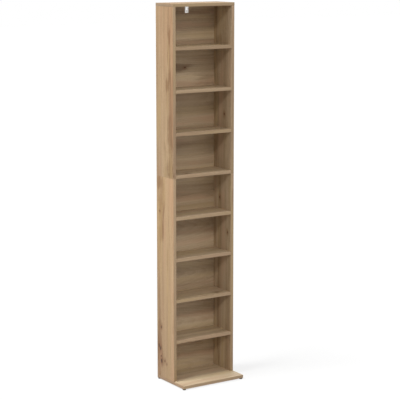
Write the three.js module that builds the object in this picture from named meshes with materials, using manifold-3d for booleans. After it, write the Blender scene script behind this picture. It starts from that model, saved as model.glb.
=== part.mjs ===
// A tall, narrow storage tower for discs, in knock-down board construction.
// Two sides, each in two lengths, stand on a base board that reaches out in front. Eight shelves make nine
// equal compartments, a top board lies over the sides, and a thin back closes the rear.
// Millimetres, +Z up, front towards -Y. The origin is on the floor, under the middle of the tower.

import * as THREE from 'three';
import { mergeVertices } from 'three/addons/utils/BufferGeometryUtils.js';
import Module from 'manifold-3d';

const wasm = await Module();
wasm.setup();

// Driving dimensions of the tower
const towerWidth = 335;
const boardThickness = 15;
const compartmentHeight = 180;
const compartmentCount = 9;
const carcassDepth = 147;
const baseReach = 85;
const arrisRadius = 1;
// The shelves, counted from the top, at which the sides and the back are joined in their length
const sideSeamShelf = 4;
const backSeamShelf = 5;

// The thin back, which stops a little inside the outer faces
const backThickness = 3;
const backInset = 2;
const backSeamGap = 0.6;

// Round feet with a pin
const footHeight = 5;
const footDiameter = 16;
const footBevel = 1.5;
const footPinDiameter = 3.4;
const footPinLength = 9;
const footPinPoint = 2;

// Beech dowels
const dowelDiameter = 8;
const dowelBevel = 0.8;
const shelfDowelInset = 30;
const shelfDowelReach = 10;
const seamDowelInset = 50;
const seamDowelLength = 30;
const topDowelInset = 30;
const topDowelIntoTop = 10;
const topDowelIntoSide = 15;

// A cam and the bolt that it pulls
const camDiameter = 14.4;
const camRoof = 2.7;
const camReach = 24;
const camInset = 30;
const camSlotLength = 9;
const camSlotWidth = 1.6;
const camSlotDepth = 2.5;
const boltDiameter = 6.4;
const boltThreadDiameter = 4.4;
const boltThreadLength = 10;
const boltPoint = 1.5;

// Countersunk connecting screws, up through the base into the sides
const screwInset = 50;
const screwHeadDiameter = 10;
const screwHeadRim = 1;
const screwHeadCone = 3;
const screwShankDiameter = 7;
const screwThreadDiameter = 5.6;
const screwIntoSide = 35;
const screwPoint = 3;
const screwKeyWidth = 4.6;
const screwKeyDepth = 3;

// The slotted angle bracket that holds the tower to the wall
const bracketWidth = 20;
const bracketDrop = 35;
const bracketLeg = 25;
const bracketThickness = 1.6;
const bracketBendRadius = 1.6;
const bracketCornerRadius = 3;
const slotWidth = 5.6;
const slotLength = 17;
const slotEdge = 11;
const slotBackMargin = 2;

// Pan-head screws through the bracket into the top board
const panHeadDiameter = 6.6;
const panHeadHeight = 2.2;
const panHeadRound = 1;
const panShankDiameter = 3.4;
const panScrewLength = 12;
const panScrewPoint = 3;
const panRecessLength = 3.6;
const panRecessWidth = 0.9;
const panRecessDepth = 1.1;
const panScrewSpacing = 9;
const panScrewEdge = 6.5;

// Clearance round a fastener in its bore, and how far a cut runs past the face it starts from
const boreClearance = 0.3;
const cutOverrun = 1;

// How finely round forms are faceted
const roundSides = 10;
const camSides = 12;
const footSides = 16;
const keySides = 6;
const arcSteps = 2;
const arrisSteps = 1;

// Derived sizes and levels
const pitch = compartmentHeight + boardThickness;
const shelfLength = towerWidth - 2 * boardThickness;
const innerFaceX = shelfLength / 2;
const sideMidX = innerFaceX + boardThickness / 2;
const baseDepth = baseReach + carcassDepth;
const baseFrontY = -(baseDepth + backThickness) / 2;
const carcassFrontY = baseFrontY + baseReach;
const carcassRearY = carcassFrontY + carcassDepth;
const baseTopZ = footHeight + boardThickness;
const topUndersideZ = undersideZ(0);
const topZ = topUndersideZ + boardThickness;
const sideSeamZ = undersideZ(sideSeamShelf);
const shelfCount = compartmentCount - 1;
const boltMiddle = boardThickness / 2;
const camHeight = boardThickness - camRoof - boreClearance;
const camDepthY = carcassDepth - camInset;

// Height of the underside of a shelf, counted from the top. Number 0 is the top board.
function undersideZ(number) {
  return baseTopZ + (compartmentCount - number) * pitch - boardThickness;
}

// Finishes
function finish(color, roughness, metalness) {
  return new THREE.MeshStandardMaterial({ color, roughness, metalness });
}

const oakDecor = finish(0xb6966f, 0.6, 0);
const backDecor = finish(0xa5865f, 0.65, 0);
const whiteSteel = finish(0xe9e6e1, 0.4, 0.1);
const zincAlloy = finish(0x9fa1a3, 0.45, 0.9);
const platedSteel = finish(0xb9bcc0, 0.35, 0.95);
const beech = finish(0xcfae80, 0.8, 0);
const darkPlastic = finish(0x2c2a28, 0.55, 0);

// Directions, and the ways in which an outline is turned before it is used
const toRight = new THREE.Vector3(1, 0, 0);
const toLeft = new THREE.Vector3(-1, 0, 0);
const toBack = new THREE.Vector3(0, 1, 0);
const toFront = new THREE.Vector3(0, -1, 0);
const upward = new THREE.Vector3(0, 0, 1);
const downward = new THREE.Vector3(0, 0, -1);
const lying = new THREE.Matrix4().makeBasis(toBack, upward, toRight);
const standing = new THREE.Matrix4().makeBasis(toBack, toLeft, upward);
const facingBack = new THREE.Matrix4().makeBasis(toRight, upward, toFront);

// The direction from the middle of the tower towards one side: -1 is the left side and 1 the right
function outward(hand) {
  return hand < 0 ? toLeft : toRight;
}

function inward(hand) {
  return outward(-hand);
}

// Makes a closed geometry a solid that can be joined and cut
function solid(geometry) {
  geometry.deleteAttribute('normal');
  geometry.deleteAttribute('uv');
  const merged = mergeVertices(geometry);
  const corners = merged.index.array;
  const triangles = [];
  for (let i = 0; i < corners.length; i += 3) {
    const [a, b, c] = corners.slice(i, i + 3);
    if (a !== b && b !== c && c !== a) {
      triangles.push(a, b, c);
    }
  }
  return new wasm.Manifold(new wasm.Mesh({
    numProp: 3,
    vertProperties: merged.getAttribute('position').array,
    triVerts: new Uint32Array(triangles),
  }));
}

// Makes a solid a geometry again
function surface(body) {
  const { vertProperties, triVerts, numProp } = body.getMesh();
  const geometry = new THREE.BufferGeometry();
  geometry.setAttribute('position', new THREE.BufferAttribute(vertProperties, numProp));
  geometry.setIndex(new THREE.BufferAttribute(triVerts, 1));
  const faceted = geometry.toNonIndexed();
  faceted.computeVertexNormals();
  return faceted;
}

// Turns a geometry's +Z towards a direction and moves it to a place
function aimed(geometry, direction, place) {
  geometry.applyQuaternion(new THREE.Quaternion().setFromUnitVectors(upward, direction));
  return geometry.translate(place.x, place.y, place.z);
}

// A turned solid from [radius, height] steps, which run up its axis
function turned(steps, sides, direction, place) {
  const points = steps.map(([radius, height]) => new THREE.Vector2(radius, height));
  const geometry = new THREE.LatheGeometry(points, sides);
  geometry.rotateX(Math.PI / 2);
  return solid(aimed(geometry, direction, place));
}

// A straight round cut that starts in a face and goes in along a direction
function bore(diameter, depth, sides, direction, place) {
  const radius = diameter / 2;
  const steps = [[0, -cutOverrun], [radius, -cutOverrun], [radius, depth], [0, depth]];
  return turned(steps, sides, direction, place);
}

// A round cut that leaves the clearance round a pin and past its end
function pinBore(diameter, reach, direction, place) {
  return bore(diameter + 2 * boreClearance, reach + boreClearance, roundSides, direction, place);
}

// An upright slot with round ends, through a sheet from its front to its back
function slotCut(width, length, depth, place) {
  const radius = width / 2;
  const straight = length / 2 - radius;
  const outline = new THREE.Shape();
  outline.absarc(0, straight, radius, 0, Math.PI, false);
  outline.absarc(0, -straight, radius, Math.PI, 2 * Math.PI, false);
  const geometry = extrusion(outline, depth + 2 * cutOverrun);
  geometry.applyMatrix4(facingBack);
  return solid(geometry.translate(place.x, place.y + depth + cutOverrun, place.z));
}

function extrusion(outline, depth, curveSegments = arcSteps) {
  return new THREE.ExtrudeGeometry(outline, { depth, bevelEnabled: false, curveSegments });
}

// The cross-section of a board, front edge at 0, with its two front arrises rounded
function boardOutline(depth) {
  const outline = new THREE.Shape();
  outline.moveTo(depth, 0);
  outline.lineTo(depth, boardThickness);
  outline.absarc(arrisRadius, boardThickness - arrisRadius, arrisRadius, Math.PI / 2, Math.PI, false);
  outline.absarc(arrisRadius, arrisRadius, arrisRadius, Math.PI, 1.5 * Math.PI, false);
  return outline;
}

// A board that lies flat, centred on the width, with its front edge and its underside at 0
function lyingBoard(length, depth) {
  const geometry = extrusion(boardOutline(depth), length, arrisSteps);
  geometry.applyMatrix4(lying);
  return solid(geometry.translate(-length / 2, 0, 0));
}

// A board that stands upright, with its inner face, its front edge and its lower end at 0
function standingBoard(hand, length) {
  const geometry = extrusion(boardOutline(carcassDepth), length, arrisSteps);
  geometry.applyMatrix4(standing);
  return solid(geometry.translate(hand < 0 ? 0 : boardThickness, 0, 0));
}

function at(x, y, z) {
  return new THREE.Vector3(x, y, z);
}

const tower = new THREE.Group();
tower.name = 'storage_tower';

function addPiece(name, body, material, place) {
  const mesh = new THREE.Mesh(surface(body), material);
  mesh.name = name;
  mesh.position.copy(place);
  tower.add(mesh);
  return mesh;
}

const hands = [['left', -1], ['right', 1]];

// A dowel with bevelled ends, from 0 up its axis
function dowelSteps(length) {
  const radius = dowelDiameter / 2;
  const tip = radius - dowelBevel;
  return [[0, 0], [tip, 0], [radius, dowelBevel], [radius, length - dowelBevel], [tip, length], [0, length]];
}

// Places along the depth of the two dowels or screws in the end of a side
function pairPlaces(inset) {
  return [['front', inset], ['rear', carcassDepth - inset]];
}

// Sides: the upper lengths hang between the seam and the top board, the lower ones stand on the base
function cutShelfBores(board, hand, lowerEndZ, numbers) {
  let body = board;
  for (const number of numbers) {
    const height = undersideZ(number) - lowerEndZ + boltMiddle;
    const dowelPlace = at(0, shelfDowelInset, height);
    const boltPlace = at(0, camDepthY, height);
    body = body.subtract(pinBore(dowelDiameter, shelfDowelReach, outward(hand), dowelPlace));
    body = body.subtract(pinBore(boltThreadDiameter, boltThreadLength, outward(hand), boltPlace));
  }
  return body;
}

function upperSide(hand) {
  const length = topUndersideZ - sideSeamZ;
  const numbers = Array.from({ length: sideSeamShelf }, (_, i) => i + 1);
  const midX = hand * boardThickness / 2;
  let body = cutShelfBores(standingBoard(hand, length), hand, sideSeamZ, numbers);
  for (const [, y] of pairPlaces(seamDowelInset)) {
    body = body.subtract(pinBore(dowelDiameter, seamDowelLength / 2, upward, at(midX, y, 0)));
  }
  for (const [, y] of pairPlaces(topDowelInset)) {
    body = body.subtract(pinBore(dowelDiameter, topDowelIntoSide, downward, at(midX, y, length)));
  }
  const middleY = carcassDepth / 2;
  body = body.subtract(pinBore(boltDiameter, camReach, downward, at(midX, middleY, length)));
  const camPlace = at(0, middleY, length - camReach);
  return body.subtract(camBore(outward(hand), camPlace));
}

function lowerSide(hand) {
  const length = sideSeamZ - baseTopZ;
  const numbers = Array.from({ length: shelfCount - sideSeamShelf }, (_, i) => sideSeamShelf + 1 + i);
  const midX = hand * boardThickness / 2;
  let body = cutShelfBores(standingBoard(hand, length), hand, baseTopZ, numbers);
  for (const [, y] of pairPlaces(seamDowelInset)) {
    body = body.subtract(pinBore(dowelDiameter, seamDowelLength / 2, downward, at(midX, y, length)));
  }
  for (const [, y] of pairPlaces(screwInset)) {
    body = body.subtract(pinBore(screwThreadDiameter, screwIntoSide, upward, at(midX, y, 0)));
  }
  return body;
}

function camBore(direction, place) {
  return bore(camDiameter + 2 * boreClearance, camHeight + boreClearance, camSides, direction, place);
}

for (const [word, hand] of hands) {
  const x = hand * innerFaceX;
  addPiece(`${word}_side_upper`, upperSide(hand), oakDecor, at(x, carcassFrontY, sideSeamZ));
  addPiece(`${word}_side_lower`, lowerSide(hand), oakDecor, at(x, carcassFrontY, baseTopZ));
}

// Shelves: a glued dowel and a bored cam seat at each end
function shelf() {
  let body = lyingBoard(shelfLength, carcassDepth);
  for (const [, hand] of hands) {
    const endX = hand * shelfLength / 2;
    const rootX = endX - hand * cutOverrun;
    const dowel = turned(
      dowelSteps(shelfDowelReach + cutOverrun),
      roundSides,
      outward(hand),
      at(rootX, shelfDowelInset, boltMiddle),
    );
    body = body.add(dowel);
    body = body.subtract(pinBore(boltDiameter, camReach, inward(hand), at(endX, camDepthY, boltMiddle)));
    body = body.subtract(camBore(upward, at(endX - hand * camReach, camDepthY, 0)));
  }
  return body;
}

for (let number = 1; number <= shelfCount; number += 1) {
  addPiece(`shelf_${number}`, shelf(), oakDecor, at(0, carcassFrontY, undersideZ(number)));
}

// Cam fixings. The bolt runs along +X from its thread in one board to the cam in the other, and the cam's
// open face, with its crossed slots, is turned down.
function fixing() {
  const threadRadius = boltThreadDiameter / 2;
  const boltRadius = boltDiameter / 2;
  const boltSteps = [
    [0, -boltThreadLength],
    [threadRadius / 2, -boltThreadLength],
    [threadRadius, boltPoint - boltThreadLength],
    [threadRadius, boreClearance],
    [boltRadius, boreClearance],
    [boltRadius, camReach],
    [0, camReach],
  ];
  const camRadius = camDiameter / 2;
  const camSteps = [[0, 0], [camRadius, 0], [camRadius, camHeight], [0, camHeight]];
  const camFoot = at(camReach, 0, -boltMiddle);
  const bolt = turned(boltSteps, roundSides, toRight, at(0, 0, 0));
  let body = turned(camSteps, camSides, upward, camFoot).add(bolt);
  const slotHeight = camSlotDepth + cutOverrun;
  const slotZ = camFoot.z + camSlotDepth - slotHeight / 2;
  for (const size of [[camSlotLength, camSlotWidth], [camSlotWidth, camSlotLength]]) {
    const slot = new THREE.BoxGeometry(...size, slotHeight);
    body = body.subtract(solid(slot.translate(camFoot.x, 0, slotZ)));
  }
  return body;
}

for (let number = 1; number <= shelfCount; number += 1) {
  const z = undersideZ(number) + boltMiddle;
  for (const [word, hand] of hands) {
    const place = at(hand * innerFaceX, carcassFrontY + camDepthY, z);
    const mesh = addPiece(`shelf_${number}_${word}_fixing`, fixing(), zincAlloy, place);
    mesh.rotation.z = hand < 0 ? 0 : Math.PI;
  }
}

// The fixings of the top point down into the sides, with the cam's open face inward
for (const [word, hand] of hands) {
  const place = at(hand * sideMidX, carcassFrontY + carcassDepth / 2, topUndersideZ);
  const mesh = addPiece(`top_${word}_fixing`, fixing(), zincAlloy, place);
  const across = new THREE.Vector3().crossVectors(outward(hand), downward);
  mesh.quaternion.setFromRotationMatrix(new THREE.Matrix4().makeBasis(downward, across, outward(hand)));
}

// Loose dowels through the seam of the sides and into the top
function addDowels(label, inset, length, lowerEndZ) {
  for (const [word, hand] of hands) {
    for (const [end, y] of pairPlaces(inset)) {
      const body = turned(dowelSteps(length), roundSides, upward, at(0, 0, 0));
      const place = at(hand * sideMidX, carcassFrontY + y, lowerEndZ);
      addPiece(`${word}_${label}_dowel_${end}`, body, beech, place);
    }
  }
}

addDowels('seam', seamDowelInset, seamDowelLength, sideSeamZ - seamDowelLength / 2);
addDowels('top', topDowelInset, topDowelIntoSide + topDowelIntoTop, topUndersideZ - topDowelIntoSide);

// Bracket: an angle of bent sheet, its drop leg against the back and its short leg under the top board.
// Its own frame has the inner corner of top board and back at 0, with -Y to the front.
function bracketOutline() {
  const outerRadius = bracketBendRadius + bracketThickness;
  const outline = new THREE.Shape();
  outline.moveTo(0, -bracketDrop);
  outline.absarc(-outerRadius, -outerRadius, outerRadius, 0, Math.PI / 2, false);
  outline.lineTo(-bracketLeg, 0);
  outline.lineTo(-bracketLeg, -bracketThickness);
  outline.absarc(-outerRadius, -outerRadius, bracketBendRadius, Math.PI / 2, 0, true);
  outline.lineTo(-bracketThickness, -bracketDrop);
  return outline;
}

// A plate outline, centred on the width, that runs from 0 down to a length, with its far corners rounded
function roundedTab(length) {
  const half = bracketWidth / 2;
  const radius = bracketCornerRadius;
  const outline = new THREE.Shape();
  outline.moveTo(half, cutOverrun);
  outline.lineTo(-half, cutOverrun);
  outline.absarc(radius - half, radius - length, radius, Math.PI, 1.5 * Math.PI, false);
  outline.absarc(half - radius, radius - length, radius, 1.5 * Math.PI, 2 * Math.PI, false);
  return outline;
}

const slotMiddleZ = -bracketDrop + slotEdge + slotLength / 2;
const panScrewPlaces = [
  ['front', panScrewEdge - bracketLeg],
  ['rear', panScrewEdge - bracketLeg + panScrewSpacing],
];

function bracket() {
  const angle = extrusion(bracketOutline(), bracketWidth);
  angle.applyMatrix4(lying);
  const dropTrim = extrusion(roundedTab(bracketDrop), bracketLeg + 2 * cutOverrun);
  dropTrim.applyMatrix4(facingBack);
  const legTrim = extrusion(roundedTab(bracketLeg), bracketDrop + 2 * cutOverrun);
  let body = solid(angle.translate(-bracketWidth / 2, 0, 0));
  body = body.intersect(solid(dropTrim.translate(0, cutOverrun, 0)));
  body = body.intersect(solid(legTrim.translate(0, 0, -bracketDrop - cutOverrun)));
  body = body.subtract(slotCut(slotWidth, slotLength, bracketThickness, at(0, -bracketThickness, slotMiddleZ)));
  for (const [, y] of panScrewPlaces) {
    const hole = panShankDiameter + 2 * boreClearance;
    const place = at(0, y, -bracketThickness);
    body = body.subtract(bore(hole, bracketThickness + cutOverrun, roundSides, upward, place));
  }
  return body;
}

const bracketPlace = at(0, carcassRearY, topUndersideZ);
addPiece('wall_bracket', bracket(), whiteSteel, bracketPlace);

// Pan-head screw, head down, with its shank pointing up from 0, the seat of its head
function panScrew() {
  const headRadius = panHeadDiameter / 2;
  const shankRadius = panShankDiameter / 2;
  const steps = [
    [0, -panHeadHeight],
    [headRadius - panHeadRound, -panHeadHeight],
    [headRadius, panHeadRound - panHeadHeight],
    [headRadius, 0],
    [shankRadius, 0],
    [shankRadius, panScrewLength - panScrewPoint],
    [0, panScrewLength],
  ];
  let body = turned(steps, roundSides, upward, at(0, 0, 0));
  const cutHeight = panRecessDepth + cutOverrun;
  const cutZ = panRecessDepth - panHeadHeight - cutHeight / 2;
  for (const size of [[panRecessLength, panRecessWidth], [panRecessWidth, panRecessLength]]) {
    const recess = new THREE.BoxGeometry(...size, cutHeight);
    body = body.subtract(solid(recess.translate(0, 0, cutZ)));
  }
  return body;
}

for (const [end, y] of panScrewPlaces) {
  const place = at(0, carcassRearY + y, topUndersideZ - bracketThickness);
  addPiece(`bracket_screw_${end}`, panScrew(), platedSteel, place);
}

// Top board: blind bores for the dowels, the bolts and the bracket's screws
function topPanel() {
  let body = lyingBoard(towerWidth, carcassDepth);
  for (const [, hand] of hands) {
    const x = hand * sideMidX;
    for (const [, y] of pairPlaces(topDowelInset)) {
      body = body.subtract(pinBore(dowelDiameter, topDowelIntoTop, upward, at(x, y, 0)));
    }
    const boltPlace = at(x, carcassDepth / 2, 0);
    body = body.subtract(pinBore(boltThreadDiameter, boltThreadLength, upward, boltPlace));
  }
  const screwReach = panScrewLength - bracketThickness;
  for (const [, y] of panScrewPlaces) {
    body = body.subtract(pinBore(panShankDiameter, screwReach, upward, at(0, carcassDepth + y, 0)));
  }
  return body;
}

addPiece('top_panel', topPanel(), oakDecor, at(0, carcassFrontY, topUndersideZ));

// Connecting screw, head down at 0. Grown by the clearance, the same form makes its countersunk hole.
function screwSteps(growth, mouth) {
  const headRadius = screwHeadDiameter / 2 + growth;
  const shankRadius = screwShankDiameter / 2 + growth;
  const coneTop = screwHeadRim + screwHeadCone;
  return [
    [0, mouth],
    [headRadius, mouth],
    [headRadius, screwHeadRim],
    [shankRadius, coneTop],
  ];
}

function connectingScrew() {
  const threadRadius = screwThreadDiameter / 2;
  const tipZ = boardThickness + screwIntoSide;
  const steps = [
    ...screwSteps(0, 0),
    [screwShankDiameter / 2, boardThickness - boreClearance],
    [threadRadius, boardThickness - boreClearance],
    [threadRadius, tipZ - screwPoint],
    [0, tipZ],
  ];
  const body = turned(steps, roundSides, upward, at(0, 0, 0));
  return body.subtract(bore(screwKeyWidth, screwKeyDepth, keySides, upward, at(0, 0, 0)));
}

function screwHole(place) {
  const steps = [
    ...screwSteps(boreClearance, -cutOverrun),
    [screwShankDiameter / 2 + boreClearance, boardThickness + cutOverrun],
    [0, boardThickness + cutOverrun],
  ];
  return turned(steps, roundSides, upward, place);
}

for (const [word, hand] of hands) {
  for (const [end, y] of pairPlaces(screwInset)) {
    const place = at(hand * sideMidX, carcassFrontY + y, footHeight);
    addPiece(`base_screw_${end}_${word}`, connectingScrew(), platedSteel, place);
  }
}

// Feet in the corners of the base, each tangent to the two edges beside it
function foot() {
  const radius = footDiameter / 2;
  const pinRadius = footPinDiameter / 2;
  const pinTop = footHeight + footPinLength;
  const steps = [
    [0, 0],
    [radius - footBevel, 0],
    [radius, footBevel],
    [radius, footHeight],
    [pinRadius, footHeight],
    [pinRadius, pinTop - footPinPoint],
    [0, pinTop],
  ];
  return turned(steps, footSides, upward, at(0, 0, 0));
}

const footPlaces = [];
for (const [word, hand] of hands) {
  const x = hand * (towerWidth - footDiameter) / 2;
  footPlaces.push([`foot_front_${word}`, at(x, baseFrontY + footDiameter / 2, 0)]);
  footPlaces.push([`foot_rear_${word}`, at(x, carcassRearY - footDiameter / 2, 0)]);
}
for (const [name, place] of footPlaces) {
  addPiece(name, foot(), darkPlastic, place);
}

// Base board: holes for the connecting screws and the pins of the feet
function basePanel() {
  let body = lyingBoard(towerWidth, baseDepth);
  for (const [, hand] of hands) {
    for (const [, y] of pairPlaces(screwInset)) {
      body = body.subtract(screwHole(at(hand * sideMidX, baseReach + y, 0)));
    }
  }
  for (const [, place] of footPlaces) {
    const hole = at(place.x, place.y - baseFrontY, 0);
    body = body.subtract(pinBore(footPinDiameter, footPinLength, upward, hole));
  }
  return body;
}

addPiece('base_panel', basePanel(), oakDecor, at(0, baseFrontY, footHeight));

// Back: two thin panels, joined behind the middle of a shelf, one below the seam in the sides
function backPanel(height) {
  const width = towerWidth - 2 * backInset;
  const panel = new THREE.BoxGeometry(width, backThickness, height);
  return solid(panel.translate(0, backThickness / 2, height / 2));
}

const backSeamZ = undersideZ(backSeamShelf) + boardThickness / 2;
const backFootZ = footHeight + backInset;
const upperBackZ = backSeamZ + backSeamGap / 2;
const upperBack = backPanel(topZ - backInset - upperBackZ);
const bracketWindow = slotCut(
  slotWidth + 2 * slotBackMargin,
  slotLength + 2 * slotBackMargin,
  backThickness,
  at(0, 0, topUndersideZ + slotMiddleZ - upperBackZ),
);
addPiece('upper_back_panel', upperBack.subtract(bracketWindow), backDecor, at(0, carcassRearY, upperBackZ));
const lowerBack = backPanel(backSeamZ - backSeamGap / 2 - backFootZ);
addPiece('lower_back_panel', lowerBack, backDecor, at(0, carcassRearY, backFootZ));

export default tower;
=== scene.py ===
# %% [markdown]
# # A tall storage tower in knotty oak decor
# The real thing is a narrow open cabinet of 15 mm decor-faced boards. Two sides stand on a base board that
# reaches out in front, eight shelves hang between them, a top board lies over them and a thin back closes
# the rear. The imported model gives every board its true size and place. This lesson gives each one its
# finish, swaps the coarse small parts for finely made ones, and sets up a plain studio round the tower.

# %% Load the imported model
from math import cos, pi, radians, sin

import bmesh
import bpy
from mathutils import Matrix, Vector


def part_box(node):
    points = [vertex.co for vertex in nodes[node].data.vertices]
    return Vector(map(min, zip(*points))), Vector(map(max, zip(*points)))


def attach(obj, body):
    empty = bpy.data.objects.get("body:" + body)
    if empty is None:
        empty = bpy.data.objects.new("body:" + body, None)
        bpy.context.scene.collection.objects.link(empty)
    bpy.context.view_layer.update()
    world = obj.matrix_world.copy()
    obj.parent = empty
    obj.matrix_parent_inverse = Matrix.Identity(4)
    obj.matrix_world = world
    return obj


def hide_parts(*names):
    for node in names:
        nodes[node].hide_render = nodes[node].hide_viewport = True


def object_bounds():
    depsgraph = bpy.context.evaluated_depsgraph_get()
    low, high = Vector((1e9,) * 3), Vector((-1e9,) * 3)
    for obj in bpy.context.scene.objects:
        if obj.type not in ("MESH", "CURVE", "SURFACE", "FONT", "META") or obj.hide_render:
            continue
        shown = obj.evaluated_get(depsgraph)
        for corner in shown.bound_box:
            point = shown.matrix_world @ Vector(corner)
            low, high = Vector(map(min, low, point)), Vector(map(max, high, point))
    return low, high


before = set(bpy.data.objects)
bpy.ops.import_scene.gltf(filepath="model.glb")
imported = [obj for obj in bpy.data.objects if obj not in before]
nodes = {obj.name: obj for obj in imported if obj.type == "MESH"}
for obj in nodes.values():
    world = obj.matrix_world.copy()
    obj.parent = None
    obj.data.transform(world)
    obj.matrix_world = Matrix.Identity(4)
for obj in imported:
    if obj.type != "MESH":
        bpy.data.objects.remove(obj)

cad_low, cad_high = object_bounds()
print(f"{len(nodes)} nodes, {(cad_high - cad_low).x:.3f} x {(cad_high - cad_low).y:.3f} x {cad_high.z:.3f} m")

# %% [markdown]
# The script thinks in millimetres, as a maker does, and Blender in metres, so one small value turns the
# first into the second. Colours are written as the screen shows them, from 0 to 255, and turned into the
# linear values that shaders want.

# %% Units and colours
mm = 0.001


def paint(red, green, blue):
    """A screen colour as a linear RGBA value."""
    def linear(byte):
        share = byte / 255
        return share / 12.92 if share <= 0.04045 else ((share + 0.055) / 1.055) ** 2.4
    return (linear(red), linear(green), linear(blue), 1.0)


def box_in_mm(node):
    """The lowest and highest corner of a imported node, in millimetres."""
    low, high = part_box(node)
    return low / mm, high / mm


print(f"a screen grey of 128 is {paint(128, 128, 128)[0]:.2f} in linear light")

# %% [markdown]
# The photograph was taken from the left and from a little above the top, from far away, so that all lines
# run nearly parallel. A long lens gives that look. The camera tilts down a little instead of shifting its
# lens, so that the tower stays whole in every other view too.

# %% Camera
camera_place = Vector((-3.5167, -5.3800, 1.9930))
camera_yaw = radians(33.164)
camera_pitch = radians(9.965)

camera_data = bpy.data.cameras.new("camera")
camera_data.lens = 126
camera_data.sensor_width = 36
camera_data.clip_end = 200
camera = bpy.data.objects.new("camera", camera_data)
camera.location = camera_place
camera.rotation_euler = (pi / 2 - camera_pitch, 0, -camera_yaw)
bpy.context.scene.collection.objects.link(camera)
bpy.context.scene.camera = camera
print(f"camera {camera_place.length:.2f} m from the foot of the tower")

# %% [markdown]
# Operators act on whatever is selected, so each step starts from an empty selection. A few short helpers do
# that, apply a modifier as the button in the panel does, and hand a finished piece to the tower.

# %% Helpers for modelling


def only(*objects):
    """Select these objects, or none at all, and nothing else. The last one becomes the active one."""
    bpy.ops.object.select_all(action="DESELECT")
    for one in objects:
        one.select_set(True)
        bpy.context.view_layer.objects.active = one


def edit(one, kind="FACE"):
    """Open one object in edit mode, with nothing selected, picking faces, edges or vertices."""
    only(one)
    bpy.ops.object.mode_set(mode="EDIT")
    bpy.ops.mesh.select_mode(type=kind)
    bpy.ops.mesh.select_all(action="DESELECT")
    return bmesh.from_edit_mesh(one.data)


def pick(parts, chosen):
    """Select the faces, edges or vertices for which chosen() holds, and say how many there are."""
    count = 0
    for part in parts:
        if chosen(part):
            part.select_set(True)
            count += 1
    return count


def leave():
    """Close edit mode, which writes the edits into the mesh."""
    bpy.ops.object.mode_set(mode="OBJECT")


def apply_modifier(one, kind, **settings):
    """Add a modifier, set it and apply it at once."""
    only(one)
    modifier = one.modifiers.new(kind.lower(), kind)
    for name, value in settings.items():
        setattr(modifier, name, value)
    bpy.ops.object.modifier_apply(modifier=modifier.name)


def settle(one):
    """Move an object's place into its mesh, so that the object itself sits at the origin."""
    only(one)
    bpy.ops.object.transform_apply(location=True, rotation=True, scale=True)


def smooth(one, angle=radians(32)):
    """Shade an object smooth, and keep the edges sharp that turn by more than an angle."""
    only(one)
    bpy.ops.object.shade_smooth_by_angle(angle=angle)


def hand_over(piece, slot, *replaced):
    """Make a finished piece part of the tower, in place of the nodes that it stands for."""
    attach(piece, "root")
    if replaced:
        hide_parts(*replaced)


# %% [markdown]
# A finish is a small network of nodes. A few helpers keep those networks short to write. They add a node and
# feed its inputs, do sums, blend two colours, step smoothly between two values, make cloudy noise, and let
# a height dent the surface.

# %% Helpers for finishes


def add(tree, kind, feeds=None, **settings):
    """Add a shader node. Feeds are its inputs by name or number, each a value or another node's output."""
    made = tree.nodes.new("ShaderNode" + kind)
    for name, value in settings.items():
        setattr(made, name, value)
    for key, value in (feeds or {}).items():
        if isinstance(value, bpy.types.NodeSocket):
            tree.links.new(value, made.inputs[key])
        else:
            made.inputs[key].default_value = value
    return made


def calc(tree, operation, *values, clamp=False):
    """A sum on numbers, named as the Math node names it."""
    feeds = dict(enumerate(values))
    return add(tree, "Math", feeds, operation=operation, use_clamp=clamp).outputs[0]


def vector_calc(tree, operation, *values):
    """A sum on vectors. A length comes out as a number, and all else as a vector."""
    feeds = dict(enumerate(values))
    output = "Value" if operation == "LENGTH" else "Vector"
    return add(tree, "VectorMath", feeds, operation=operation).outputs[output]


def blend(tree, share, first, second):
    """Lay the second colour over the first, by a share from 0 to 1. The node's colours are inputs 6 and 7."""
    feeds = {0: share, 6: first, 7: second}
    return add(tree, "Mix", feeds, data_type="RGBA").outputs[2]


def between(tree, value, low, high, to_low=0.0, to_high=1.0):
    """A smooth step: to_low where the value is below low, and to_high where it is above high."""
    feeds = {0: value, 1: low, 2: high, 3: to_low, 4: to_high}
    return add(tree, "MapRange", feeds, interpolation_type="SMOOTHSTEP").outputs[0]


def noise(tree, vector, stretch, detail=2.0, roughness=0.5):
    """Cloudy noise from 0 to 1, with so many clouds to the metre along each axis."""
    scaled = vector_calc(tree, "MULTIPLY", vector, stretch)
    feeds = {"Vector": scaled, "Scale": 1.0, "Detail": detail, "Roughness": roughness}
    return add(tree, "TexNoise", feeds).outputs[0]


def new_finish(name):
    """A material with its principled shader, ready for nodes."""
    material = bpy.data.materials.new(name)
    material.use_nodes = True
    tree = material.node_tree
    return material, tree, tree.nodes["Principled BSDF"]


def bump(tree, shader, height, depth, strength=1.0):
    """Let a height from 0 to 1 dent the surface by up to a depth."""
    made = add(tree, "Bump", {"Height": height, "Distance": depth, "Strength": strength})
    tree.links.new(made.outputs[0], shader.inputs["Normal"])


# %% [markdown]
# ## The oak print
# The boards aren't solid oak: a printed paper with an oak picture is pressed onto them. All boards are cut
# from one endless sheet of that print, each at another place. So the print is one node group, which reads a
# place on the sheet in metres, u along the grain and v across it. A knot pushes the grain aside and darkens
# it. Its core is nearly black, with fine rings of its own and a crack where it dried. A knot is a group of
# its own, because the sheet has many.

# %% One knot
# The squeeze makes the knot long, the halo reaches so many radii, and the pull says how far the grain bows.
knot_squeeze = 0.62
halo_reach = 2.6
grain_pull = 0.82
rings_in_a_knot = 3.2


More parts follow.
